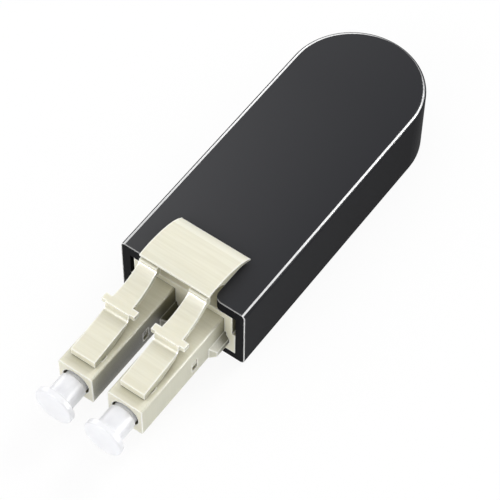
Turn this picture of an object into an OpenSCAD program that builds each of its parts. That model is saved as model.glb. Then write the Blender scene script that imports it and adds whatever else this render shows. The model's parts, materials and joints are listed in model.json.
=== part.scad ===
// Duplex LC fibre loopback plug: a moulded loop housing, a duplex clip with a shared
// latch trigger, two LC connectors under dust caps, and the fibre loop that joins them.
// X runs across the two connectors, the connectors point towards -Y, and Z is up.
// The origin lies on the flat base, at the middle of the housing's front edge.

/* [Loop housing] */
// Width across the two side walls
housing_w = 15.68; // [15:0.02:18]
// Height from the flat base to the top
housing_h = 8.9; // [8.5:0.02:11]
// Length of the straight sides, in front of the round back
housing_straight = 31.1; // [27:0.1:60]
// Thickness of the side walls
side_wall = 1.11; // [0.8:0.01:1.2]
// Thickness of the floor
housing_floor = 0.94; // [0.7:0.02:1.2]
// Thickness of the top wall
top_wall = 1.49; // [0.9:0.01:1.6]
// Rounding of the long outer edges
housing_edge_r = 0.5; // [0.2:0.05:0.7]
// Width of the finger notch in the top wall
notch_w = 7.8; // [7.4:0.1:8.6]
// Depth of the finger notch
notch_depth = 5.9; // [5.7:0.1:6.6]
// Corner radius of the finger notch, at its mouth and at its back
notch_r = 1; // [0.5:0.1:1.2]

/* [Duplex clip] */
// Length of the clip inside the housing
clip_l = 6.5; // [6:0.1:9]
// Floor of the clip, under the connectors
clip_floor = 1.17; // [1:0.01:1.3]
// How far the upper half of each side is set in from the lower half
clip_step = 0.4; // [0.2:0.05:0.6]
// Radius of the upper half's upright front corners
clip_corner_r = 0.12; // [0.05:0.01:0.3]
// Thickness of the wall that the connectors stop against
clip_stop_wall = 0.95; // [0.6:0.05:1.2]
// Width of the slots beside each connector's nose, over its rails
slot_w = 0.27; // [0.2:0.01:0.35]
// Height of the snap ramps above the sides
snap_h = 0.3; // [0.1:0.05:0.4]
// Length of the snap ramps
snap_l = 1; // [0.6:0.1:1.6]
// Where the snap ramps catch, behind the housing's front
snap_y = 4.2; // [3:0.1:4.8]

/* [Trigger] */
// Width of the trigger plate
trigger_w = 8.8; // [8.5:0.02:9.6]
// Length of the plate, from its front lip to its rear curl
trigger_l = 7.1; // [6.9:0.05:7.6]
// How far the lip reaches in front of the housing
lip_reach = 1.25; // [0.95:0.05:1.35]
// Height of the lip's upper edge over the clip's deck
lip_rise = 3.755; // [3.4:0.005:3.9]
// Thickness of the lip's front edge
lip_t = 0.25; // [0.15:0.01:0.3]
// Drop from the lip's upper edge to the rear curl
curl_drop = 1.68; // [1.5:0.02:1.8]
// Radius of the hollow under the lip
hollow_r = 1.8; // [1.6:0.05:2.2]
// Width of the hollow under the lip
hollow_l = 2.5; // [2.2:0.05:2.6]
// Drop from the lip's upper edge to the rear end of the hollow
hollow_drop = 0.88; // [0.8:0.02:1]
// Distance from the back of the finger notch forward to the hinge pin
pin_inset = 1.05; // [0.95:0.05:1.2]
// Height of the hinge pin's axis over the clip's deck
pin_rise = 0.635; // [0.5:0.005:0.8]
// Diameter of the hinge pin
pin_d = 0.9; // [0.6:0.05:1]
// Thickness of the two hinge cheeks
cheek_t = 0.5; // [0.4:0.05:0.7]
// Wall of a cheek around the pin
cheek_rim = 0.2; // [0.12:0.02:0.3]

/* [Connectors] */
// Distance between the two connectors' axes
pitch = 6.25; // [6.2:0.01:6.3]
// Width of a connector's nose
nose_w = 4.31; // [4.2:0.01:4.4]
// Height of a connector's nose
nose_h = 4.25; // [4.1:0.01:4.4]
// Reach of the nose in front of the housing
nose_reach = 13.8; // [13.4:0.1:16]
// Rounding of the nose's long edges
nose_r = 0.28; // [0.1:0.02:0.4]
// Length of the connector inside the clip
plug_seat = 3; // [2:0.1:3.5]
// Bore of the nose around the ferrule
nose_bore_d = 3.3; // [3.2:0.02:3.4]
// Depth of the bore behind the nose's front
nose_bore_l = 3.4; // [3:0.1:3.8]
// Thickness of the wall that the ferrule's flange seats on
seat_wall = 0.7; // [0.5:0.05:1]
// Width of the side rails
rail_w = 0.6; // [0.4:0.02:0.65]
// Height of the side rails
rail_h = 1.7; // [1.4:0.05:2]
// Height of the rails' upright outer face
rail_face_h = 0.75; // [0.5:0.05:0.9]
// How far the rails reach in front of the housing, without their ramps
rail_reach = 2; // [1:0.1:3]
// Length of the ramp at the front of each rail
rail_ramp_l = 0.65; // [0.3:0.05:1]
// Length of the snap windows in the nose's sides
window_l = 0.85; // [0.7:0.05:1]
// Height of the snap windows
window_h = 1.5; // [1.3:0.05:1.7]
// Distance of the windows' rear edge in front of the housing
window_reach = 4.6; // [4.4:0.1:4.8]

/* [Rear bodies] */
// Width and height of the square rear body
rear_w = 3.32; // [3.26:0.02:3.4]
// Bore of the rear body around the spring
spring_bore_d = 2.6; // [2.56:0.02:2.7]
// Length of the spring in the connector
spring_l = 4.9; // [4.5:0.1:5.2]
// Diameter of the crimp neck
neck_d = 2.6; // [2.4:0.05:2.8]
// Length of the crimp neck
neck_l = 4; // [3.5:0.1:5]
// Outer diameter of the crimp sleeve
sleeve_d = 3.4; // [3.2:0.05:3.6]
// Length of the crimp sleeve
sleeve_l = 3.95; // [3.6:0.05:5]

/* [Latches] */
// Width of a latch from its root to its step
latch_w = 3; // [2.7:0.05:3.3]
// Width over the two locking ears
ear_span = 4.16; // [3.9:0.02:4.3]
// Length of the locking ears
ear_l = 0.8; // [0.6:0.05:1]
// Width of the latch behind the ears
tang_w = 2.6; // [2.3:0.05:2.8]
// Width of the tail under the trigger's lip
tail_w = 2.22; // [2:0.02:2.36]
// Length of the tail
tail_l = 0.65; // [0.5:0.05:0.8]
// Setback of the latch's root from the nose's front
root_setback = 1.35; // [1.1:0.05:1.6]
// Height of the latch over the nose at its root
root_h = 1; // [0.9:0.02:1.1]
// Height of the ramp's upper end over the nose
ramp_h = 1.65; // [1.4:0.05:1.8]
// Thickness of the latch at the ramp's upper end
ramp_t = 0.65; // [0.55:0.05:0.8]
// Length of the latch's rising underside in front of the step
ramp_under_l = 2.7; // [2.4:0.1:3]
// Height of the locking step over the nose
step_h = 2.6; // [2.4:0.05:2.8]
// Distance from the root to the locking step
step_run = 5.65; // [5.4:0.05:5.8]
// Radius of the fillet in front of the locking step
step_fillet_r = 0.5; // [0.2:0.05:0.6]
// Thickness of the latch behind the step
tang_t = 0.6; // [0.5:0.05:0.7]
// Radius of the round root that the latch turns on
root_r = 0.5; // [0.4:0.02:0.55]

/* [Ferrules] */
// Diameter of the ferrule
ferrule_d = 1.25; // [1.2:0.01:1.3]
// Length of the ferrule
ferrule_l = 6.9; // [6.5:0.1:7.2]
// How far the ferrule reaches in front of the nose
ferrule_reach = 1.8; // [1.5:0.1:2]
// Diameter of the hole for the bare fibre
micro_bore_d = 0.126; // [0.1:0.002:0.2]
// Diameter of the flange behind the ferrule
flange_d = 2.8; // [2.6:0.02:2.84]
// Length of the flange
flange_l = 1.2; // [1.1:0.05:1.4]
// Outer diameter of the flange's tube
flange_tube_d = 1.7; // [1.5:0.02:1.8]
// Length of the flange's tube
flange_tube_l = 6; // [5.6:0.1:6.2]
// How far the ferrule can be pushed in
ferrule_travel = 0.8; // [0.4:0.1:1]

/* [Springs] */
// Diameter of the spring's wire
wire_d = 0.25; // [0.16:0.01:0.26]
// Number of turns
spring_turns = 7; // [5:1:8]

/* [Fibre loop] */
// Diameter of the fibre's jacket
jacket_d = 0.9; // [0.6:0.05:0.96]
// Clearance between the loop and the housing's side walls
loop_gap = 0.48; // [0.2:0.02:1]
// Straight length of fibre behind each crimp sleeve
lead_l = 6; // [3:0.5:7]
// Radius of the two bends that spread the fibres to the loop's width
spread_r = 10; // [5:0.5:14]

/* [Dust caps] */
// Diameter of the cap's barrel
cap_d = 3.16; // [2.9:0.02:3.2]
// Diameter of the cap's neck inside the nose
cap_neck_d = 2.76; // [2.4:0.02:2.86]
// Diameter of the cap's rim
cap_rim_d = 4.6; // [4.2:0.05:5.2]
// Thickness of the cap's rim
cap_rim_l = 0.75; // [0.5:0.05:1]
// Rounding of the rim's edges
cap_rim_r = 0.15; // [0.05:0.01:0.2]
// Distance from the nose's front to the cap's rim
cap_stand = 3; // [2.6:0.1:3.6]
// Gap between the cap's barrel and the nose's front
cap_gap = 0.4; // [0.1:0.05:0.8]
// How far the neck reaches into the nose
cap_neck_l = 0.6; // [0.3:0.05:1]
// Depth of the cap's bore in front of the ferrule's tip
cap_air = 0.7; // [0.4:0.05:1]

/* [Clearances] */
// Clearance between parts that are assembled
fit = 0.045; // [0.03:0.005:0.06]
// Clearance of parts that turn or slide on each other
run = 0.03; // [0.02:0.005:0.05]
// Clearance of a glued joint
glue = 0.01; // [0.005:0.005:0.02]
// Gap between the trigger's lip and the latch tails
lip_gap = 0.08; // [0.05:0.01:0.15]

/* [Hidden] */
$fn = 48;

LEFT = -1;
RIGHT = 1;
// How far a cutting shape runs past the face that it cuts
over = 0.5;

// Cavity of the housing, and the clip that fills its mouth
cavity_half = housing_w / 2 - side_wall;
cavity_top = housing_h - top_wall;
clip_half = cavity_half - fit;
clip_z = housing_floor + fit;
deck_z = cavity_top - fit;
snap_z = clip_z + clip_floor / 2;
snap_face_h = 1.8;
snap_recess = snap_h + fit;

// Connectors, along Y from the nose's front to the rear
nose_z = clip_z + clip_floor + fit;
axis_z = nose_z + nose_h / 2;
nose_top = nose_z + nose_h;
nose_y = -nose_reach;
seat_front_y = nose_y + nose_bore_l;
seat_y = seat_front_y + seat_wall;
flange_y = seat_y + run;
spring_y = flange_y + flange_l;
spring_stop_y = spring_y + spring_l;
rear_cavity_y = -window_reach - window_l - 0.75;
rear_body_y = rear_cavity_y + 2 * fit;
neck_end_y = plug_seat + neck_l;
stop_y = plug_seat + fit;
stop_back_y = stop_y + clip_stop_wall;
sleeve_y = stop_back_y + fit;
sleeve_end_y = sleeve_y + sleeve_l;
window_z = nose_z + 1;
tab_z = window_z + 0.6;

// Latch, from its root on the nose to its tail under the trigger's lip
root_y = nose_y + root_setback;
root_run = 1.45;
root_pivot_y = root_y + root_run;
root_pivot_z = nose_top + 0.3;
root_gap = 0.12;
tang_run = 1.7;
step_y = root_y + step_run;
lip_y = -lip_reach;
lip_z = deck_z + lip_rise;
tail_y = lip_y - 0.3;
tail_top = lip_z - lip_t - lip_gap;
tail_bottom = tail_top - 1.26;
tang_end = [tail_y, tail_top - 0.48];

// Trigger's hinge, the handles that steer the curves of its plate, and the ends of its neck
pin_y = notch_depth - pin_inset;
pin_z = deck_z + pin_rise;
cheek_outer = notch_w / 2 - 0.35;
cheek_inner = cheek_outer - cheek_t;
neck_half = cheek_inner - 0.1;
cheek_r = pin_d / 2 + run + cheek_rim;
crown_front = [0.5, 0.29];
crown_rear = [-1.95, 2.1];
belly_front = [1.62, -0.24];
belly_rear = [-1.63, 1.22];
neck_front = [2, -0.7];
neck_rear = [-0.65, 0.3];

// Ferrule assembly and dust cap
ferrule_y = nose_y - ferrule_reach;
ferrule_end_y = ferrule_y + ferrule_l;
tube_end_y = spring_y + flange_tube_l;
tube_bore_d = jacket_d + 2 * fit;
tube_room_y = tube_end_y + ferrule_travel + 2 * fit;
cap_rim_y = nose_y - cap_stand - cap_rim_l;

// Fibre route
fibre_y = ferrule_end_y + ferrule_travel + 2 * fit;
loop_r = cavity_half - loop_gap - jacket_d / 2;
spread_y = sleeve_end_y + lead_l;
spread_a = acos(1 - (loop_r - pitch / 2) / (2 * spread_r));
spread_end_y = spread_y + 2 * spread_r * sin(spread_a);

CHARCOAL = [0.22, 0.225, 0.235];
BEIGE = [0.89, 0.88, 0.81];
CLEAR_WHITE = [0.96, 0.97, 0.98];
ZIRCONIA = [0.95, 0.95, 0.93];
NICKEL = [0.72, 0.71, 0.68];
STEEL = [0.62, 0.63, 0.65];
JACKET_YELLOW = [0.93, 0.78, 0.18];

// ---- Outlines and placing ----

// Point on a cubic curve from p[0] to p[3], steered by p[1] and p[2]
function curve_point(p, t) =
    pow(1 - t, 3) * p[0] + 3 * pow(1 - t, 2) * t * p[1]
    + 3 * (1 - t) * t * t * p[2] + pow(t, 3) * p[3];

// Points along a cubic curve in the given number of steps
function curve(p, steps) = [for (i = [0:steps]) curve_point(p, i / steps)];

// Centre of the arc of radius r that rises over the chord from a to b, with a on the left
function arc_centre(a, b, r) =
    let (chord = b - a, half = norm(chord) / 2, down = [chord[1], -chord[0]] / norm(chord))
    (a + b) / 2 + down * sqrt(r * r - half * half);

// Extrudes a section drawn in X and Z from y0 to y1
module along(y0, y1) {
    translate([0, y1, 0]) rotate([90, 0, 0]) linear_extrude(y1 - y0) children();
}

// Extrudes a side view drawn in Y and Z over a width centred on X = 0
module across(width) {
    translate([-width / 2, 0, 0]) rotate([90, 0, 90]) linear_extrude(width) children();
}

// Extrudes a plan drawn in X and Y from z0 to z1
module upright(z0, z1) {
    translate([0, 0, z0]) linear_extrude(z1 - z0) children();
}

// Places a shape on one connector's middle plane
module at_plug(side) {
    translate([side * pitch / 2, 0, 0]) children();
}

// Turns a shape drawn around Z so that its axis is the connector's and its Z runs along Y
module on_axis(side) {
    at_plug(side) translate([0, 0, axis_z]) rotate([-90, 0, 0]) children();
}

// A round bar or bore on the connector's axis
module bar(side, d, y0, y1) {
    on_axis(side) translate([0, 0, y0]) cylinder(d = d, h = y1 - y0);
}

// The same shape on both sides of the middle plane
module both_sides() {
    children();
    mirror([1, 0, 0]) children();
}

// Rectangle centred on X = 0, standing on z, with its corners rounded by r
module round_section(width, z, height, r) {
    translate([-width / 2, z + r]) square([width, height - 2 * r]);
    translate([-width / 2 + r, z]) square([width - 2 * r, height]);
    for (x = [-1, 1], y = [r, height - r])
        translate([x * (width / 2 - r), z + y]) circle(r);
}

// An outline drawn as its right half, from the bottom up, with its mirror image added
function mirrored(points) = [for (i = [len(points) - 1:-1:0]) [-points[i][0], points[i][1]]];

module symmetric(half) {
    polygon(concat(half, mirrored(half)));
}

// ---- Loop housing ----

// A section swept along the straight sides and around the back
module stadium(front_y) {
    along(front_y, housing_straight) children();
    translate([0, housing_straight, 0]) rotate_extrude(angle = 180, $fn = 96)
        intersection() {
            children();
            square([housing_w, housing_h]);
        }
}

module notch_plan() {
    half = notch_w / 2;
    difference() {
        translate([-half - notch_r, -over]) square([notch_w + 2 * notch_r, over + notch_r]);
        for (side = [LEFT, RIGHT]) translate([side * (half + notch_r), notch_r]) circle(notch_r);
    }
    translate([-half, 0]) square([notch_w, notch_depth - notch_r]);
    translate([-half + notch_r, 0]) square([notch_w - 2 * notch_r, notch_depth]);
    for (side = [LEFT, RIGHT])
        translate([side * (half - notch_r), notch_depth - notch_r]) circle(notch_r);
}

module housing_shell() {
    color(CHARCOAL) difference() {
        stadium(0) round_section(housing_w, 0, housing_h, housing_edge_r);
        stadium(-over) translate([-cavity_half, housing_floor])
            square([2 * cavity_half, cavity_top - housing_floor]);
        upright(cavity_top - over, housing_h + over) notch_plan();
        both_sides() translate([cavity_half - over, snap_y - fit, snap_z - fit])
            cube([over + snap_recess, snap_l + 2 * fit, snap_face_h + 2 * fit]);
    }
}

// ---- Duplex clip ----

// Plan of the clip's upper half, with its front corners rounded
module clip_upper_plan() {
    half = clip_half - clip_step;
    translate([-half, clip_corner_r]) square([2 * half, clip_l - clip_corner_r]);
    translate([-half + clip_corner_r, 0]) square([2 * (half - clip_corner_r), clip_l]);
    for (side = [LEFT, RIGHT])
        translate([side * (half - clip_corner_r), clip_corner_r]) circle(clip_corner_r);
}

// Section of the bay that takes one connector, its rails and the slots over them
module bay_section() {
    wall = nose_w / 2;
    rail_half = wall + rail_w + fit;
    slot_foot = nose_z + rail_h - (rail_h - rail_face_h) * slot_w / rail_w + 2 * fit;
    slot_top = nose_z + rail_h + 4 * fit;
    symmetric([
        [rail_half, nose_z - fit], [rail_half, nose_z + rail_face_h + fit],
        [wall + slot_w, slot_foot], [wall + slot_w, slot_top],
        [wall + fit, slot_top], [wall + fit, nose_top + fit],
    ]);
}

// Section of the square bay behind the stop wall, for a crimp sleeve
module sleeve_bay() {
    half = sleeve_d / 2 + fit;
    translate([-half, axis_z - half]) square(2 * half);
}

module snap_ramp() {
    upright(snap_z, snap_z + snap_face_h)
        polygon([
            [clip_half - over, snap_y], [clip_half + snap_h, snap_y],
            [clip_half, snap_y + snap_l], [clip_half - over, snap_y + snap_l],
        ]);
}

module hinge_cheek() {
    translate([cheek_outer - cheek_t / 2, 0, 0]) across(cheek_t) {
        translate([pin_y - cheek_r, deck_z - over / 2]) square([2 * cheek_r, pin_rise + over / 2]);
        translate([pin_y, pin_z]) circle(cheek_r);
    }
}

module duplex_clip() {
    color(BEIGE) difference() {
        union() {
            upright(clip_z, axis_z) translate([-clip_half, 0]) square([2 * clip_half, clip_l]);
            upright(axis_z, deck_z) clip_upper_plan();
            both_sides() snap_ramp();
            both_sides() hinge_cheek();
        }
        for (side = [LEFT, RIGHT]) {
            at_plug(side) along(-over, stop_y) bay_section();
            at_plug(side) along(stop_back_y, clip_l + over) sleeve_bay();
            bar(side, neck_d + 2 * fit, stop_y - over, stop_back_y + over);
        }
        translate([0, pin_y, pin_z]) rotate([0, 90, 0])
            cylinder(d = pin_d + 2 * run, h = 2 * cheek_outer + over, center = true);
    }
}

// ---- Trigger ----

// Side view of the plate: a crowned back that curls down behind, hollowed under its lip
module trigger_profile() {
    lip = [lip_y, lip_z];
    curl = lip + [trigger_l, -curl_drop];
    heel = curl + [-0.1, -0.13];
    under_lip = lip - [0, lip_t];
    hollow_end = lip + [hollow_l, -hollow_drop];
    difference() {
        polygon(concat(
            curve([lip, lip + crown_front, curl + crown_rear, curl], 20),
            curve([heel, heel + belly_rear, hollow_end + belly_front, hollow_end], 10),
            [under_lip]
        ));
        translate(arc_centre(under_lip, hollow_end, hollow_r)) circle(hollow_r, $fn = 72);
    }
}

module trigger() {
    color(BEIGE) {
        across(trigger_w) trigger_profile();
        across(2 * neck_half) polygon([
            [pin_y - pin_d / 2, pin_z], [pin_y + pin_d / 2, pin_z],
            [lip_y + trigger_l, lip_z - curl_drop] + neck_rear,
            [lip_y + hollow_l, lip_z] + neck_front,
        ]);
        translate([0, pin_y, pin_z]) rotate([0, 90, 0])
            cylinder(d = pin_d, h = 2 * (cheek_outer - fit), center = true);
    }
}

// ---- Connectors ----

// One side's rail section, leaning in from its outer face to the nose's wall
module rail_section() {
    wall = nose_w / 2;
    polygon([
        [wall - over, nose_z], [wall + rail_w, nose_z], [wall + rail_w, nose_z + rail_face_h],
        [wall, nose_z + rail_h], [wall - over, nose_z + rail_h],
    ]);
}

// Plan of a rail, ramped at its front
module rail_plan() {
    wall = nose_w / 2;
    polygon([
        [wall - over, -rail_reach - rail_ramp_l], [wall, -rail_reach - rail_ramp_l],
        [wall + rail_w, -rail_reach], [wall + rail_w, plug_seat], [wall - over, plug_seat],
    ]);
}

module plug_body(side) {
    color(BEIGE) difference() {
        at_plug(side) {
            along(nose_y, plug_seat) round_section(nose_w, nose_z, nose_h, nose_r);
            both_sides() intersection() {
                along(-rail_reach - rail_ramp_l, plug_seat) rail_section();
                upright(nose_z, nose_z + rail_h) rail_plan();
            }
        }
        bar(side, nose_bore_d, nose_y - over, seat_front_y);
        bar(side, ferrule_d + 0.65, seat_front_y - over, seat_y + over);
        bar(side, flange_d + 0.2, seat_y, rear_cavity_y + over);
        at_plug(side) {
            rear_half = rear_w / 2 + fit;
            along(rear_cavity_y, plug_seat + over)
                translate([-rear_half, axis_z - rear_half]) square(2 * rear_half);
            translate([-nose_w, -window_reach - window_l, window_z])
                cube([2 * nose_w, window_l, window_h]);
            translate([0, root_pivot_y, root_pivot_z]) rotate([0, 90, 0])
                cylinder(r = root_r + run, h = latch_w + 2 * fit, center = true);
        }
    }
}

// ---- Latches ----

// Side view of a latch: root, ramp, locking step, and the tang that rises to the tail
module latch_profile() {
    ramp_slope = (ramp_h - root_h) / step_run;
    fillet = [step_y - step_fillet_r, nose_top + ramp_h - step_fillet_r * ramp_slope];
    step_top = nose_top + step_h;
    tang_top = [step_y + tang_run, step_top];
    underside = nose_top + root_gap;
    tang_under = tang_top - [0, tang_t];
    difference() {
        polygon(concat(
            [[root_y, nose_top + root_h], fillet, fillet + [step_fillet_r, step_fillet_r],
                [step_y + 0.05, step_top + 0.05], [step_y + 0.25, step_top]],
            curve([tang_top, tang_top + [1.3, 0.1], tang_end + [-1.05, -0.76], tang_end], 12),
            [[tail_y, tail_top], [tail_y + tail_l, tail_top], [tail_y + tail_l, tail_bottom]],
            curve([[tail_y, tail_bottom], [tail_y - 0.85, tail_bottom - 0.6],
                tang_under + [1.4, 0.1], tang_under], 12),
            [[step_y + 0.2, step_top - tang_t - 0.05], [step_y - 0.6, nose_top + ramp_h - ramp_t],
                [step_y - ramp_under_l, underside + 0.13], [root_pivot_y + 0.45, underside],
                [root_y, underside]]
        ));
        translate(fillet + [0, step_fillet_r]) circle(step_fillet_r);
    }
}

// Plan of a latch, from its root through the ears and the tapered tang to the narrow tail
module latch_plan() {
    ear_y = step_y + 0.2;
    ear_end = ear_y + ear_l;
    symmetric([
        [latch_w / 2, root_y - over], [latch_w / 2, ear_y], [ear_span / 2, ear_y],
        [ear_span / 2, ear_end], [tang_w / 2, ear_end], [tail_w / 2, tail_y - 0.1],
        [tail_w / 2, tail_y + tail_l + over],
    ]);
}

module latch(side) {
    color(BEIGE) at_plug(side) {
        intersection() {
            across(ear_span + over) latch_profile();
            upright(nose_top, lip_z) latch_plan();
        }
        translate([0, root_pivot_y, root_pivot_z]) rotate([0, 90, 0])
            cylinder(r = root_r, h = latch_w, center = true);
    }
}

// ---- Rear bodies and springs ----

module rear_body(side) {
    color(BEIGE) difference() {
        union() {
            at_plug(side) {
                along(rear_body_y, plug_seat)
                    translate([-rear_w / 2, axis_z - rear_w / 2]) square(rear_w);
                translate([-nose_w / 2 + 0.08, -window_reach - window_l + fit, tab_z])
                    cube([nose_w - 0.16, window_l - 2 * fit, window_z + window_h - fit - tab_z]);
            }
            bar(side, neck_d, plug_seat - over, neck_end_y);
        }
        at_plug(side) translate([-rear_w, -window_reach - window_l, window_z + fit])
            cube([2 * rear_w, window_l, tab_z - window_z - fit]);
        bar(side, spring_bore_d, rear_body_y - over, spring_stop_y);
        bar(side, flange_tube_d + 0.2, spring_stop_y - over, tube_room_y);
        bar(side, jacket_d + 4 * fit, tube_room_y - over, neck_end_y + over);
    }
}

// Rings of a wire wound around Z, each in the plane that holds the axis
module coil(mean_r, wire_r, height, turns) {
    sides = 6;
    steps = turns * 18;
    points = [for (i = [0:steps], k = [0:sides - 1])
        let (turn = 360 * turns * i / steps, a = 360 * k / sides, r = mean_r + wire_r * cos(a))
        [r * cos(turn), r * sin(turn), height * i / steps + wire_r * sin(a)]];
    faces = [for (i = [0:steps - 1], k = [0:sides - 1])
        let (n = (k + 1) % sides)
        [i * sides + k, (i + 1) * sides + k, (i + 1) * sides + n, i * sides + n]];
    first = [for (k = [0:sides - 1]) k];
    last = [for (k = [0:sides - 1]) steps * sides + sides - 1 - k];
    polyhedron(points, concat(faces, [first, last]));
}

module spring(side) {
    end = wire_d / 2 + run;
    color(STEEL) on_axis(side) translate([0, 0, spring_y + end])
        coil((spring_bore_d / 2 - fit) - wire_d / 2, wire_d / 2, spring_l - 2 * end, spring_turns);
}

module crimp_sleeve(side) {
    color(NICKEL) difference() {
        bar(side, sleeve_d, sleeve_y, sleeve_end_y);
        bar(side, neck_d + 2 * glue, sleeve_y - over, neck_end_y + fit);
        bar(side, jacket_d + 2 * fit, sleeve_y, sleeve_end_y + over);
    }
}

// ---- Ferrules ----

module ferrule(side) {
    chamfer = 0.15;
    r = ferrule_d / 2;
    color(ZIRCONIA) difference() {
        on_axis(side) translate([0, 0, ferrule_y]) rotate_extrude()
            polygon([
                [0, 0], [r - chamfer, 0], [r, 2 * chamfer], [r, ferrule_l], [0, ferrule_l],
            ]);
        bar(side, micro_bore_d, ferrule_y - over, ferrule_end_y + over);
    }
}

module ferrule_flange(side) {
    color(NICKEL) difference() {
        union() {
            bar(side, flange_d, flange_y, spring_y);
            bar(side, flange_tube_d, flange_y, tube_end_y);
        }
        bar(side, ferrule_d + 2 * glue, flange_y - over, ferrule_end_y + glue);
        bar(side, tube_bore_d, flange_y, tube_end_y + over);
    }
}

// ---- Fibre loop ----

// Half of the route in the plane of the loop: out of the connector, then spread by two bends
function fibre_side(steps) = concat(
    [[pitch / 2, fibre_y]],
    [for (i = [0:steps]) let (a = spread_a * i / steps)
        [pitch / 2 + spread_r * (1 - cos(a)), spread_y + spread_r * sin(a)]],
    [for (i = [1:steps]) let (a = spread_a * (1 - i / steps))
        [loop_r - spread_r * (1 - cos(a)), spread_end_y - spread_r * sin(a)]]
);

// The round end of the loop, from the right side to the left
function fibre_bend(steps) = [for (i = [0:steps]) let (a = 180 * i / steps)
    [loop_r * cos(a), housing_straight + loop_r * sin(a)]];

// A round tube of radius r along a route that lies in one plane
module tube_along(route, r, sides) {
    last = len(route) - 1;
    points = [for (i = [0:last], k = [0:sides - 1])
        let (
            heading = route[min(i + 1, last)] - route[max(i - 1, 0)],
            across = [heading[1], -heading[0]] / norm(heading),
            a = 360 * k / sides,
            place = route[i] + r * cos(a) * across
        ) [place[0], place[1], r * sin(a)]];
    faces = [for (i = [0:last - 1], k = [0:sides - 1])
        let (n = (k + 1) % sides)
        [i * sides + k, i * sides + n, (i + 1) * sides + n, (i + 1) * sides + k]];
    first = [for (k = [sides - 1:-1:0]) k];
    end = [for (k = [0:sides - 1]) last * sides + k];
    polyhedron(points, concat(faces, [first, end]));
}

module fibre_loop() {
    half = fibre_side(5);
    color(JACKET_YELLOW) translate([0, 0, axis_z])
        tube_along(concat(half, fibre_bend(24), mirrored(half)), jacket_d / 2, 8);
}

// ---- Dust caps ----

module cap_profile() {
    barrel_y = cap_rim_y + cap_rim_l;
    barrel_end = nose_y - cap_gap;
    square_r = cap_rim_d / 2;
    translate([0, cap_rim_y]) square([square_r - cap_rim_r, cap_rim_l]);
    translate([0, cap_rim_y + cap_rim_r]) square([square_r, cap_rim_l - 2 * cap_rim_r]);
    for (y = [cap_rim_y + cap_rim_r, barrel_y - cap_rim_r])
        translate([square_r - cap_rim_r, y]) circle(cap_rim_r, $fn = 24);
    polygon([
        [0, cap_rim_y + cap_rim_r], [cap_d / 2, cap_rim_y + cap_rim_r], [cap_d / 2, barrel_end],
        [cap_neck_d / 2, barrel_end + 0.15], [cap_neck_d / 2, nose_y + cap_neck_l],
        [0, nose_y + cap_neck_l],
    ]);
}

module dust_cap(side) {
    color(CLEAR_WHITE) difference() {
        on_axis(side) rotate_extrude() cap_profile();
        bar(side, ferrule_d + 2 * run, ferrule_y - cap_air, nose_y + cap_neck_l + over);
    }
}

module plug_body_left() { plug_body(LEFT); }
module plug_body_right() { plug_body(RIGHT); }
module latch_left() { latch(LEFT); }
module latch_right() { latch(RIGHT); }
module rear_body_left() { rear_body(LEFT); }
module rear_body_right() { rear_body(RIGHT); }
module spring_left() { spring(LEFT); }
module spring_right() { spring(RIGHT); }
module ferrule_left() { ferrule(LEFT); }
module ferrule_right() { ferrule(RIGHT); }
module ferrule_flange_left() { ferrule_flange(LEFT); }
module ferrule_flange_right() { ferrule_flange(RIGHT); }
module crimp_sleeve_left() { crimp_sleeve(LEFT); }
module crimp_sleeve_right() { crimp_sleeve(RIGHT); }
module dust_cap_left() { dust_cap(LEFT); }
module dust_cap_right() { dust_cap(RIGHT); }

housing_shell();
duplex_clip();
trigger();
plug_body_left();
plug_body_right();
latch_left();
latch_right();
rear_body_left();
rear_body_right();
spring_left();
spring_right();
ferrule_left();
ferrule_right();
ferrule_flange_left();
ferrule_flange_right();
crimp_sleeve_left();
crimp_sleeve_right();
fibre_loop();
dust_cap_left();
dust_cap_right();
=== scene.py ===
# Looks for the fibre loopback plug: materials, softened moulding edges, studio and camera.
# Lengths are in metres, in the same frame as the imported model: the connectors point
# towards -Y, Z is up, and the middle of the housing's front lies over the origin.
# Colours are linear RGB.
import json
import math

import bpy
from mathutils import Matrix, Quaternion, Vector


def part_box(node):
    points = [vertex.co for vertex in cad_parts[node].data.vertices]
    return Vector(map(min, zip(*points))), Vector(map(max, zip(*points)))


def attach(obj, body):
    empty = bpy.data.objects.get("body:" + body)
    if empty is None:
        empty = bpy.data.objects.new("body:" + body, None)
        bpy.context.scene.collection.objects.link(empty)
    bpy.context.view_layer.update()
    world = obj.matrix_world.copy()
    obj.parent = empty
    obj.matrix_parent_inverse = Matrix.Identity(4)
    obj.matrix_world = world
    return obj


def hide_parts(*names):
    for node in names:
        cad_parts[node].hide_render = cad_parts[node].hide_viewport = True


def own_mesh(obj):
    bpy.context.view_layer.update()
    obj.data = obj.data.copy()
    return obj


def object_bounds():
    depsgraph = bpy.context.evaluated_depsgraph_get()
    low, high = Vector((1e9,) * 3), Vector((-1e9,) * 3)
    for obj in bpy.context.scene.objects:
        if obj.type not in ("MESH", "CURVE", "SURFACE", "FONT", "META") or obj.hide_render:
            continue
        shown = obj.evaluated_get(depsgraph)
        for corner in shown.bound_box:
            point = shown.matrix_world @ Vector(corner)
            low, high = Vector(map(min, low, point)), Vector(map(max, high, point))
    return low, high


MM = 0.001
RIGHT = (1, 0, 0)
BACK = (0, 1, 0)
UP = (0, 0, 1)

# Depth of the grain and of turning marks
GRAIN_DEPTH = 0.002 * MM
# Cosine of the turn between a face and its rounded edge where the edge's painted highlight starts
# and is full
EDGE_TURN = (0.995, 0.95)


def box_as_lists(box):
    return [list(corner) for corner in box]


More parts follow.
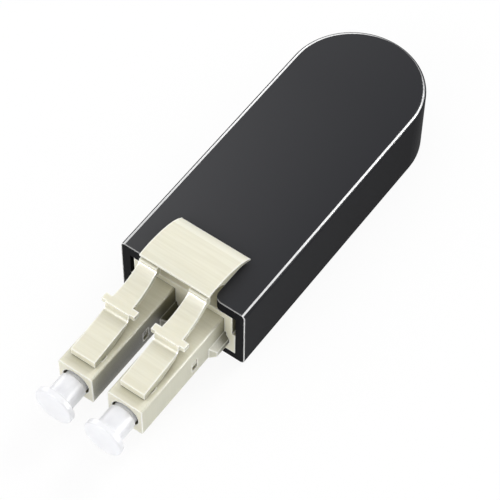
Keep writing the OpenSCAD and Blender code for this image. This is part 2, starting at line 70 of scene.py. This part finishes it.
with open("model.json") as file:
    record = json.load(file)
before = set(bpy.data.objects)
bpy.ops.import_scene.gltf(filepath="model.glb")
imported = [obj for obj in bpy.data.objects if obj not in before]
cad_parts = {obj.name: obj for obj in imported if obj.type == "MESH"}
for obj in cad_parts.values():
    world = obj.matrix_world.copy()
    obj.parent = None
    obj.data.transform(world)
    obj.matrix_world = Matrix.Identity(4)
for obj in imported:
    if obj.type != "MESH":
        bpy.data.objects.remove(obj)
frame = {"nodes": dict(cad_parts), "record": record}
cad_box = box_as_lists(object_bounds())
scene = bpy.context.scene


# ---- Node helpers ----

def new_material(name):
    material = bpy.data.materials.new(name)
    material.use_nodes = True
    return material, material.node_tree, material.node_tree.nodes["Principled BSDF"]


def add_node(tree, kind, **inputs):
    """Adds a node with constant inputs; an underscore in a name stands for a space."""
    node = tree.nodes.new(kind)
    for name, value in inputs.items():
        node.inputs[name.replace("_", " ")].default_value = value
    return node


def object_coordinates(tree):
    return tree.nodes.new("ShaderNodeTexCoord").outputs["Object"]


def coordinate(tree, axis):
    """The position along one axis of the piece, in metres."""
    apart = tree.nodes.new("ShaderNodeSeparateXYZ")
    tree.links.new(object_coordinates(tree), apart.inputs["Vector"])
    return apart.outputs[axis]


def noise(tree, size, detail=2.0):
    """Noise whose blotches are about `size` metres across."""
    node = add_node(tree, "ShaderNodeTexNoise", Scale=1.0 / size, Detail=detail)
    tree.links.new(object_coordinates(tree), node.inputs["Vector"])
    return node.outputs["Fac"]


def stretched_noise(tree, per_metre):
    """Noise with its own number of blotches to the metre along each axis."""
    stretch = add_node(tree, "ShaderNodeMapping", Scale=per_metre)
    tree.links.new(object_coordinates(tree), stretch.inputs["Vector"])
    node = add_node(tree, "ShaderNodeTexNoise", Scale=1.0, Detail=2.0)
    tree.links.new(stretch.outputs["Vector"], node.inputs["Vector"])
    return node.outputs["Fac"]


def streaks(tree, length, width):
    """Noise drawn out into streaks along X, `length` metres long and `width` metres wide."""
    return stretched_noise(tree, (1.0 / length, 1.0 / width, 1.0 / length))


def spread(tree, value, low, high):
    """Maps a 0..1 pattern onto low..high."""
    node = add_node(tree, "ShaderNodeMapRange", To_Min=low, To_Max=high)
    tree.links.new(value, node.inputs["Value"])
    return node.outputs["Result"]


def ramp(tree, value, start, end):
    """Runs from 0 where `value` is `start` to 1 where it is `end`."""
    node = add_node(tree, "ShaderNodeMapRange", From_Min=start, From_Max=end)
    tree.links.new(value, node.inputs["Value"])
    return node.outputs["Result"]


def two_tone(tree, value, first, last, start=0.35, end=0.65):
    """Runs from the colour `first` where `value` is `start` to `last` where it is `end`."""
    node = tree.nodes.new("ShaderNodeValToRGB")
    node.color_ramp.elements[0].position = start
    node.color_ramp.elements[0].color = (*first, 1)
    node.color_ramp.elements[1].position = end
    node.color_ramp.elements[1].color = (*last, 1)
    tree.links.new(value, node.inputs["Fac"])
    return node.outputs["Color"]


def gradient(tree, value, first, last):
    """Two colours that run into each other over the whole of a 0..1 pattern."""
    return two_tone(tree, value, first, last, 0.0, 1.0)


def mix_colours(tree, a, b, share):
    node = tree.nodes.new("ShaderNodeMix")
    node.data_type = "RGBA"
    tree.links.new(a, node.inputs[6])
    tree.links.new(b, node.inputs[7])
    tree.links.new(share, node.inputs[0])
    return node.outputs[2]


def mean(tree, a, b):
    """Half of each of two values."""
    node = add_node(tree, "ShaderNodeMix", Factor=0.5)
    tree.links.new(a, node.inputs["A"])
    tree.links.new(b, node.inputs["B"])
    return node.outputs["Result"]


def math_node(tree, operation, first, second=None):
    node = tree.nodes.new("ShaderNodeMath")
    node.operation = operation
    tree.links.new(first, node.inputs[0])
    if second is not None:
        tree.links.new(second, node.inputs[1])
    return node.outputs[0]


def absolute(tree, value):
    return math_node(tree, "ABSOLUTE", value)


def minus(tree, a, b):
    return math_node(tree, "SUBTRACT", a, b)


def larger(tree, a, b):
    return math_node(tree, "MAXIMUM", a, b)


def both(tree, a, b):
    """1 where two masks are 1, by their product."""
    return math_node(tree, "MULTIPLY", a, b)


def dot_product(tree):
    node = tree.nodes.new("ShaderNodeVectorMath")
    node.operation = "DOT_PRODUCT"
    return node


def facing(tree, axis):
    """How far the surface faces towards `axis`: 1 is straight at it, 0 side on, -1 away."""
    dot = dot_product(tree)
    tree.links.new(tree.nodes.new("ShaderNodeTexCoord").outputs["Normal"], dot.inputs[0])
    dot.inputs[1].default_value = axis
    return dot.outputs["Value"]


def along_axis(tree, axis):
    """How far the surface faces along `axis`, either way: 1 is straight on and 0 is side on."""
    return absolute(tree, facing(tree, axis))


def openness(tree, reach):
    """1 where a surface faces open space, and less in gaps narrower than `reach` metres; it sets
    where shade is painted.
    """
    node = add_node(tree, "ShaderNodeAmbientOcclusion", Distance=reach)
    node.samples = 8
    return node.outputs["AO"]


def edge_mask(tree, radius):
    """1 on a sharp edge, fading to 0 at `radius` metres from it; used to paint highlights on edges.

    It compares the surface's direction with the one that it would have if the edge were round.
    """
    rounded = add_node(tree, "ShaderNodeBevel", Radius=radius)
    rounded.samples = 6
    dot = dot_product(tree)
    tree.links.new(rounded.outputs["Normal"], dot.inputs[0])
    tree.links.new(tree.nodes.new("ShaderNodeNewGeometry").outputs["Normal"], dot.inputs[1])
    return ramp(tree, dot.outputs["Value"], *EDGE_TURN)


def bump(tree, shader, height):
    """Turns a 0..1 pattern into shallow relief."""
    node = add_node(tree, "ShaderNodeBump", Strength=1.0, Distance=GRAIN_DEPTH)
    tree.links.new(height, node.inputs["Height"])
    tree.links.new(node.outputs["Normal"], shader.inputs["Normal"])


# ---- Housing ----

# How far up a round faces where its band of painted highlight starts and is full: at the band's
# inner edge, beside the flat face, and at its outer edge. The left round has both further in.
BAND_INNER = (0.96, 0.94)
BAND_OUTER = (0.71, 0.76)
LEFT_INNER_SHIFT = 0.055
LEFT_OUTER_SHIFT = 0.17

# How far right a surface faces where the left round's painted highlight band starts and is full,
# and how far back where a painted highlight band has faded out and is full
LEFT_ROUND = (0.0, -0.05)
ROUND_THE_BACK = (0.45, 0.05)

# The front's edges with a painted highlight: how far they reach in from the outline and from the
# front, and over what lengths they fade
FRONT_EDGE_REACH = 0.3 * MM
FRONT_EDGE_FADE = 0.1 * MM
FRONT_EDGE_DEPTH = (0.35 * MM, 0.20 * MM)
FRONT_EDGE_RADIUS = 0.2 * MM
TOP_EDGE_SHARE = 0.45

# Where the painted light on the top changes from right to left, and the painted light and shade
# from front to back, start and end
RIGHT_TO_LEFT = (7 * MM, -7 * MM)
FRONT_TO_BACK = (2 * MM, 30 * MM)

# Share of the gloss that the faces have, where the edges with the painted highlight have all of it
FACE_GLOSS = 0.08


def painted_fillet_highlight(tree):
    """1 on part of the rounds beside the housing's top and underside, where a highlight is painted.

    The band lies higher on the left round than on the right one, and fades round the back.
    """
    up = along_axis(tree, UP)
    left = ramp(tree, facing(tree, RIGHT), *LEFT_ROUND)
    inner = minus(tree, up, spread(tree, left, 0.0, LEFT_INNER_SHIFT))
    outer = minus(tree, up, spread(tree, left, 0.0, LEFT_OUTER_SHIFT))
    band = both(tree, ramp(tree, inner, *BAND_INNER), ramp(tree, outer, *BAND_OUTER))
    return both(tree, band, ramp(tree, along_axis(tree, BACK), *ROUND_THE_BACK))


def painted_front_edge_highlight(tree):
    """1 on the front's upright outer edges, and less on the edge that it shares with the top; a
    highlight is painted there.
    """
    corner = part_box("housing_shell")[1]
    half_width = corner.x - FRONT_EDGE_REACH
    height = corner.z - FRONT_EDGE_REACH
    at_front = ramp(tree, coordinate(tree, "Y"), *FRONT_EDGE_DEPTH)
    from_middle = absolute(tree, coordinate(tree, "X"))
    at_side = ramp(tree, from_middle, half_width - FRONT_EDGE_FADE, half_width)
    at_top = ramp(tree, coordinate(tree, "Z"), height - FRONT_EDGE_FADE, height)
    outer = larger(tree, at_side, spread(tree, at_top, 0.0, TOP_EDGE_SHARE))
    return both(tree, edge_mask(tree, FRONT_EDGE_RADIUS), both(tree, at_front, outer))


def housing_colour_painted_light(tree, shade):
    """Charcoal, with painted light and shade: the top is painted lighter towards its front left,
    and the walls are painted darker as if in shade.
    """
    leftward = ramp(tree, coordinate(tree, "X"), *RIGHT_TO_LEFT)
    backward = ramp(tree, coordinate(tree, "Y"), *FRONT_TO_BACK)
    # Lighter and darker copies of the charcoal: painted light on the top's left and front, painted
    # shade on its right, the sides and the front
    left = gradient(tree, backward, (0.066, 0.0665, 0.070), (0.047, 0.0475, 0.051))
    right = gradient(tree, backward, (0.036, 0.0365, 0.040), (0.033, 0.0335, 0.037))
    side = gradient(tree, backward, (0.021, 0.0215, 0.0235), (0.010, 0.010, 0.0115))
    front = two_tone(tree, shade, (0.010, 0.010, 0.012), (0.013, 0.013, 0.015))
    top = mix_colours(tree, right, left, leftward)
    walls = mix_colours(tree, side, front, along_axis(tree, BACK))
    return mix_colours(tree, walls, top, along_axis(tree, UP))


def housing_plastic():
    """Charcoal moulded plastic: dull faces with a fine grain and painted light and shade, and
    glossy edges with a painted highlight.
    """
    material, tree, shader = new_material("housing_plastic")
    shade = noise(tree, 9 * MM, detail=3)
    # Near-white painted highlight on the rounds and the front's edges, which also get the full
    # gloss
    edges = two_tone(tree, shade, (0.95, 0.95, 0.955), (1.0, 1.0, 1.0))
    painted_highlight_and_gloss = larger(tree, painted_fillet_highlight(tree), painted_front_edge_highlight(tree))
    colour = mix_colours(tree, housing_colour_painted_light(tree, shade), edges, painted_highlight_and_gloss)
    tree.links.new(colour, shader.inputs["Base Color"])
    grain = noise(tree, 0.12 * MM)
    satin = spread(tree, mean(tree, grain, shade), 0.40, 0.48)
    tree.links.new(satin, shader.inputs["Roughness"])
    bump(tree, shader, grain)
    tree.links.new(spread(tree, painted_highlight_and_gloss, FACE_GLOSS, 1.0), shader.inputs["Coat Weight"])
    shader.inputs["Coat Roughness"].default_value = 0.12
    shader.inputs["Specular IOR Level"].default_value = 0.0
    return material


# ---- Connectors, clip, latches and trigger ----

# How far back and up a surface faces where the palest colour, a painted highlight, starts and is
# full
CROWN_BACK = (0.40, 0.46)
CROWN_UP = (0.5, 0.6)

# How open a surface is where the painted shade of the gaps ends and where the colour of open faces
# is full
OPEN_ABOVE = (0.25, 0.85)
OPEN_IN_FRONT = (0.10, 0.60)
OPEN_BESIDE = (0.62, 0.97)

# Height over which the painted shade on the walls in a gap goes from nearly black to lighter
GAP_HEIGHT = (2.5 * MM, 6.5 * MM)


def connector_colour(tree, shade):
    """Beige with painted shade, deeper in the gaps and on the sides, and a painted highlight where
    a plate slopes back.
    """
    open_top = two_tone(tree, shade, (0.765, 0.738, 0.595), (0.81, 0.787, 0.648))
    # Darker copy of the beige for painted shade on side faces
    painted_darker_side = two_tone(tree, shade, (0.61, 0.60, 0.475), (0.63, 0.62, 0.495))
    # Paler copy of the beige for a painted highlight where a plate slopes back
    painted_back_highlight = two_tone(tree, shade, (0.92, 0.905, 0.79), (0.935, 0.92, 0.805))
    # Darker copies of the beige for painted shade in the gaps, nearly black low on the walls
    # between the plugs
    painted_shade_top = two_tone(tree, shade, (0.37, 0.35, 0.23), (0.385, 0.365, 0.24))
    painted_shade_front = two_tone(tree, shade, (0.40, 0.38, 0.25), (0.42, 0.40, 0.265))
    height = ramp(tree, coordinate(tree, "Z"), *GAP_HEIGHT)
    painted_shade_side = gradient(tree, height, (0.006, 0.005, 0.002), (0.28, 0.26, 0.16))

    backward = ramp(tree, facing(tree, BACK), *CROWN_BACK)
    painted_back_highlight_share = both(tree, backward, ramp(tree, along_axis(tree, UP), *CROWN_UP))
    top = mix_colours(tree, open_top, painted_back_highlight, painted_back_highlight_share)
    # How open the surface is, which sets where shade is painted
    light = openness(tree, 2.5 * MM)
    upward = mix_colours(tree, painted_shade_top, top, ramp(tree, light, *OPEN_ABOVE))
    forward = mix_colours(tree, painted_shade_front, open_top, ramp(tree, light, *OPEN_IN_FRONT))
    sideways = mix_colours(tree, painted_shade_side, painted_darker_side, ramp(tree, light, *OPEN_BESIDE))
    lengthways = mix_colours(tree, upward, forward, along_axis(tree, BACK))
    return mix_colours(tree, lengthways, sideways, along_axis(tree, RIGHT))


def connector_plastic():
    """Beige moulded plastic: smooth, a little see-through, with painted light and shade on the
    faces, and glossy edges with a painted highlight.
    """
    material, tree, shader = new_material("connector_plastic")
    shade = streaks(tree, 6 * MM, 0.35 * MM)
    # Near-white painted highlight on every sharp edge, which also gets the coat's gloss
    edges = two_tone(tree, shade, (0.99, 0.975, 0.89), (1.0, 1.0, 0.92))
    painted_highlight_and_gloss = edge_mask(tree, 0.27 * MM)
    colour = mix_colours(tree, connector_colour(tree, shade), edges, painted_highlight_and_gloss)
    tree.links.new(colour, shader.inputs["Base Color"])
    tree.links.new(painted_highlight_and_gloss, shader.inputs["Coat Weight"])
    shader.inputs["Coat Roughness"].default_value = 0.15
    shader.inputs["Coat IOR"].default_value = 1.8
    grain = noise(tree, 0.1 * MM)
    tree.links.new(spread(tree, grain, 0.34, 0.44), shader.inputs["Roughness"])
    bump(tree, shader, grain)
    shader.inputs["Subsurface Weight"].default_value = 0.15
    shader.inputs["Subsurface Radius"].default_value = (1.0, 0.85, 0.55)
    shader.inputs["Subsurface Scale"].default_value = 0.5 * MM
    return material


# ---- Other materials ----

def cap_plastic():
    """Milky soft plastic that lets light through."""
    material, tree, shader = new_material("cap_plastic")
    shade = noise(tree, 1.2 * MM)
    colour = two_tone(tree, shade, (0.885, 0.89, 0.925), (0.91, 0.915, 0.945))
    tree.links.new(colour, shader.inputs["Base Color"])
    grain = noise(tree, 0.6 * MM, detail=1)
    tree.links.new(spread(tree, grain, 0.30, 0.38), shader.inputs["Roughness"])
    shader.inputs["Subsurface Weight"].default_value = 0.3
    shader.inputs["Subsurface Radius"].default_value = (1.0, 1.0, 1.0)
    shader.inputs["Subsurface Scale"].default_value = 1.0 * MM
    shader.inputs["Transmission Weight"].default_value = 0.04
    return material


def mottled(name, size, dark, light, smooth, rough):
    """A plain material whose colour and roughness vary a little over `size` metres."""
    material, tree, shader = new_material(name)
    shade = noise(tree, size)
    tree.links.new(two_tone(tree, shade, dark, light), shader.inputs["Base Color"])
    tree.links.new(spread(tree, shade, smooth, rough), shader.inputs["Roughness"])
    return material


def turned_metal(name, dark, light, smooth, rough):
    """Metal with fine marks that run around the connector's axis."""
    material, tree, shader = new_material(name)
    marks = stretched_noise(tree, (300.0, 15000.0, 300.0))
    tree.links.new(two_tone(tree, marks, dark, light), shader.inputs["Base Color"])
    tree.links.new(spread(tree, marks, smooth, rough), shader.inputs["Roughness"])
    bump(tree, shader, marks)
    shader.inputs["Metallic"].default_value = 1.0
    return material


MATERIALS = {
    "housing_plastic": housing_plastic(),
    "connector_plastic": connector_plastic(),
    "cap_plastic": cap_plastic(),
    "zirconia": mottled(
        "zirconia", 1 * MM, (0.82, 0.81, 0.76), (0.88, 0.87, 0.83), 0.08, 0.14),
    "nickel_plate": turned_metal(
        "nickel_plate", (0.58, 0.56, 0.52), (0.68, 0.66, 0.62), 0.25, 0.4),
    "spring_steel": turned_metal(
        "spring_steel", (0.50, 0.51, 0.53), (0.60, 0.61, 0.63), 0.2, 0.35),
    "fibre_jacket": mottled(
        "fibre_jacket", 2 * MM, (0.80, 0.53, 0.02), (0.86, 0.60, 0.04), 0.38, 0.48),
}


def dress_nodes():
    """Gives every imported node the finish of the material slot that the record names."""
    slots = {part["node"]: part["material_slot"] for part in frame["record"]["subparts"]}
    for name, piece in frame["nodes"].items():
        piece.data.materials.clear()
        piece.data.materials.append(MATERIALS[slots[name]])


# ---- Moulded edges ----

EDGE_RADIUS = {
    "housing_shell": 0.10 * MM,
    "duplex_clip": 0.11 * MM,
    "trigger": 0.11 * MM,
    "plug_body_left": 0.12 * MM,
    "plug_body_right": 0.12 * MM,
    "latch_left": 0.09 * MM,
    "latch_right": 0.09 * MM,
    "rear_body_left": 0.05 * MM,
    "rear_body_right": 0.05 * MM,
}
LEAST_EDGE_ANGLE = math.radians(35)
WELD_DISTANCE = 0.0005 * MM


def soften_edges(piece, radius):
    """Rounds the sharp edges as a mould does, and leaves the facets of curves alone."""
    weld = piece.modifiers.new("weld", "WELD")
    weld.merge_threshold = WELD_DISTANCE
    bevel = piece.modifiers.new("moulded edge", "BEVEL")
    bevel.width = radius
    bevel.segments = 3
    bevel.limit_method = "ANGLE"
    bevel.angle_limit = LEAST_EDGE_ANGLE
    bevel.use_clamp_overlap = True
    bevel.harden_normals = True


# ---- Springs ----


def shortening_coil(side):
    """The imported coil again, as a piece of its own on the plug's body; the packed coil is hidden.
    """
    node = f"spring_{side}"
    packed = frame["nodes"][node]
    coil = bpy.data.objects.new(f"coil_{side}", packed.data.copy())
    scene.collection.objects.link(coil)
    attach(coil, "loop_plug")
    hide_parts(node)
    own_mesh(coil)


# ---- Studio and camera ----

# The camera stands as it did for the photograph; the lens is in millimetres
CAMERA_PLACE = Vector((75.643, -96.025, 193.111)) * MM
CAMERA_FORWARD = Vector((-0.3236, 0.46193, -0.82578))
CAMERA_ROLL = math.radians(0.93)
CAMERA_LENS = 156.6

WORLD_STRENGTH = 0.7
LAMP_DISTANCE = 0.6
LAMPS_AIM = Vector((0, 10, 4)) * MM
# Name, direction from the plug, width of the softbox, power in watts, lights dull surfaces
LAMPS = [
    ("key", (0.15, 0.8, 0.75), 0.25, 1.4, True),
    ("fill", (-0.1, -0.85, 0.45), 0.3, 0.8, True),
    ("front_rim", (-0.32, -0.75, 0.55), 0.3, 4.0, False),
    ("left_rim", (-0.87, 0.46, 0.18), 0.3, 1.5, False),
    ("right_rim", (0.85, 0.46, 0.25), 0.35, 4.5, False),
]

FLOOR_SIZE = 3
FLOOR_DROP = 0.02 * MM
FLOOR_WHITE_SHARE = 0.9


def place_camera():
    """A long lens that looks down on the plug from the front right."""
    camera = bpy.data.objects.new("camera", bpy.data.cameras.new("camera"))
    scene.collection.objects.link(camera)
    camera.location = CAMERA_PLACE
    camera.rotation_mode = "QUATERNION"
    roll = Quaternion((0, 0, 1), CAMERA_ROLL)
    camera.rotation_quaternion = CAMERA_FORWARD.to_track_quat("-Z", "Y") @ roll
    camera.data.sensor_width = 36
    camera.data.lens = CAMERA_LENS
    camera.data.clip_start = 0.01
    camera.data.clip_end = 10
    scene.camera = camera


def area_light(name, direction, size, power, diffuse):
    """A square softbox that faces the middle of the plug from `direction`."""
    light = bpy.data.lights.new(name, "AREA")
    light.size = size
    light.energy = power
    lamp = bpy.data.objects.new(name, light)
    lamp.visible_diffuse = diffuse
    scene.collection.objects.link(lamp)
    towards = Vector(direction).normalized()
    lamp.location = LAMPS_AIM + towards * LAMP_DISTANCE
    lamp.rotation_euler = (-towards).to_track_quat("-Z", "Y").to_euler()


def seen_directly(tree):
    """1 for rays from the camera, in reflections and through clear material, and 0 for the rest."""
    path = tree.nodes.new("ShaderNodeLightPath").outputs
    bounced = larger(tree, path["Is Glossy Ray"], path["Is Transmission Ray"])
    return larger(tree, path["Is Camera Ray"], bounced)


def mix_shaders(tree, first, second, share):
    node = tree.nodes.new("ShaderNodeMixShader")
    tree.links.new(share, node.inputs["Fac"])
    tree.links.new(first, node.inputs[1])
    tree.links.new(second, node.inputs[2])
    return node.outputs[0]


def light_world():
    """Even light from all round, in front of a plain white backdrop."""
    world = bpy.data.worlds.new("studio")
    world.use_nodes = True
    scene.world = world
    tree = world.node_tree
    ambient = tree.nodes["Background"]
    ambient.inputs["Color"].default_value = (1, 1, 1, 1)
    ambient.inputs["Strength"].default_value = WORLD_STRENGTH
    white = add_node(tree, "ShaderNodeBackground", Color=(1, 1, 1, 1))
    backdrop = mix_shaders(tree, ambient.outputs[0], white.outputs[0], seen_directly(tree))
    tree.links.new(backdrop, tree.nodes["World Output"].inputs["Surface"])


def lay_floor():
    """A floor that is white to the camera and keeps a trace of the plug's shadow."""
    height = cad_box[0][2] - FLOOR_DROP
    bpy.ops.mesh.primitive_plane_add(size=FLOOR_SIZE, location=(0, 0, height))
    floor = bpy.context.object
    floor.name = "floor"
    material, tree, shader = new_material("floor")
    shader.inputs["Base Color"].default_value = (0.95, 0.95, 0.95, 1)
    shader.inputs["Roughness"].default_value = 0.8
    white = tree.nodes.new("ShaderNodeEmission")
    share = spread(tree, seen_directly(tree), 0.0, FLOOR_WHITE_SHARE)
    surface = mix_shaders(tree, shader.outputs[0], white.outputs[0], share)
    tree.links.new(surface, tree.nodes["Material Output"].inputs["Surface"])
    floor.data.materials.append(material)


dress_nodes()
for node_name, edge_radius in EDGE_RADIUS.items():
    soften_edges(frame["nodes"][node_name], edge_radius)
for plug_side in ("left", "right"):
    shortening_coil(plug_side)
place_camera()
light_world()
for lamp_settings in LAMPS:
    area_light(*lamp_settings)
lay_floor()
scene.view_settings.view_transform = "Standard"
